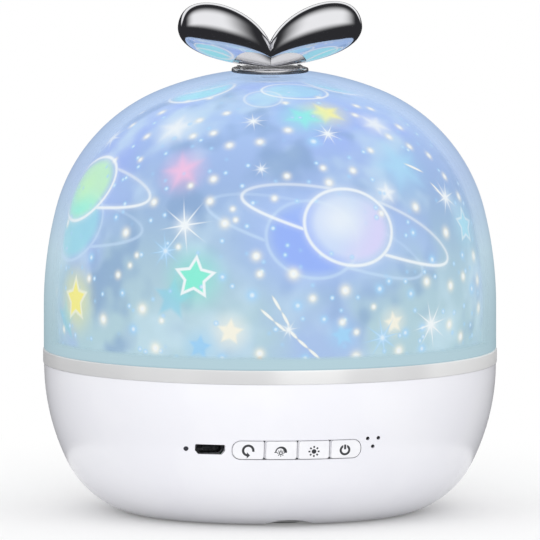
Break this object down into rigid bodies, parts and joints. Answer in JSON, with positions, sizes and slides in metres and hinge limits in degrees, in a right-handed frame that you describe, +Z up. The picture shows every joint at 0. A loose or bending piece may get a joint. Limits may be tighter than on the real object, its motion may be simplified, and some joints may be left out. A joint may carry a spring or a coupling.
{
  "type": "star night light projector",
  "caption": "Round star-projector night light: bowl base with push buttons and USB inlet, band, lift-off milky dome over a turning printed film, two chrome leaves on top.",
  "frame": {"origin": "centre of the lamp at the level of its rubber feet, where it stands on a table", "axes": "+Z up along the lamp's own axis; the row of four buttons faces -Y; +X to the right of someone who faces the buttons"},
  "size_m": [0.13, 0.13, 0.1462],
  "materials": {
    "white_abs": "satin",
    "inner_abs": "matte",
    "rubber": "matte",
    "steel": "satin",
    "band_silver": "satin",
    "milky_cover": "gloss",
    "chrome": "polished",
    "clear_carrier": "gloss",
    "printed_film": "gloss",
    "motor_can": "satin",
    "gear_acetal": "matte",
    "pcb_white": "matte",
    "led_yellow": "gloss",
    "aluminium": "satin",
    "pcb_green": "matte",
    "black_plastic": "matte",
    "button_white": "satin",
    "light_pipe": "gloss",
    "cell_sleeve": "gloss"
  },
  "bodies": {
    "base": {"base_shell": "white_abs", "bottom_cover": "inner_abs", "feet": "rubber", "bottom_screws": "steel", "trim_ring": "band_silver", "deck": "inner_abs", "deck_screws": "steel", "hub_clip": "steel", "gearmotor": "motor_can", "motor_screws": "steel", "led_board": "pcb_white", "led_emitters": "led_yellow", "heatsink": "aluminium", "control_board": "pcb_green", "board_screws": "steel", "usb_socket": "steel", "switches": "black_plastic", "charge_led": "light_pipe", "microphone": "aluminium", "battery_cell": "cell_sleeve"},
    "cover": {"dome_cover": "milky_cover", "leaf_base": "chrome", "left_leaf": "chrome", "right_leaf": "chrome", "dome_screw": "steel", "dome_washer": "steel"},
    "film_drum": {"turntable": "inner_abs", "film_carrier": "clear_carrier", "star_film": "printed_film", "pole_ring": "inner_abs"},
    "pinion": {"motor_shaft": "steel", "drive_pinion": "gear_acetal"},
    "rotate_button": {"button_rotate": "button_white", "switch_stem_1": "black_plastic"},
    "dimmer_button": {"button_dimmer": "button_white", "switch_stem_2": "black_plastic"},
    "sun_button": {"button_sun": "button_white", "switch_stem_3": "black_plastic"},
    "power_button": {"button_power": "button_white", "switch_stem_4": "black_plastic"}
  },
  "joints": [
    {"name": "cover_lift", "type": "slide", "parent": "base", "child": "cover", "axis": [0, 0, 1], "range_m": [0, 0.09]},
    {"name": "turntable_spin", "type": "hinge", "parent": "base", "child": "film_drum", "pos_m": [0, 0, 0.0485], "axis": [0, 0, 1], "continuous": true},
    {"name": "pinion_spin", "type": "hinge", "parent": "base", "child": "pinion", "pos_m": [0, 0.0375, 0.046], "axis": [0, 0, 1], "continuous": true},
    {"name": "rotate_press", "type": "slide", "parent": "base", "child": "rotate_button", "axis": [0, 1, 0], "range_m": [0, 0.0005], "stiffness_N_per_m": 400},
    {"name": "dimmer_press", "type": "slide", "parent": "base", "child": "dimmer_button", "axis": [0, 1, 0], "range_m": [0, 0.0005], "stiffness_N_per_m": 400},
    {"name": "sun_press", "type": "slide", "parent": "base", "child": "sun_button", "axis": [0, 1, 0], "range_m": [0, 0.0005], "stiffness_N_per_m": 400},
    {"name": "power_press", "type": "slide", "parent": "base", "child": "power_button", "axis": [0, 1, 0], "range_m": [0, 0.0005], "stiffness_N_per_m": 400}
  ],
  "couplings": [
    {"joint": "pinion_spin", "follows": "turntable_spin", "ratio": -4}
  ]
}
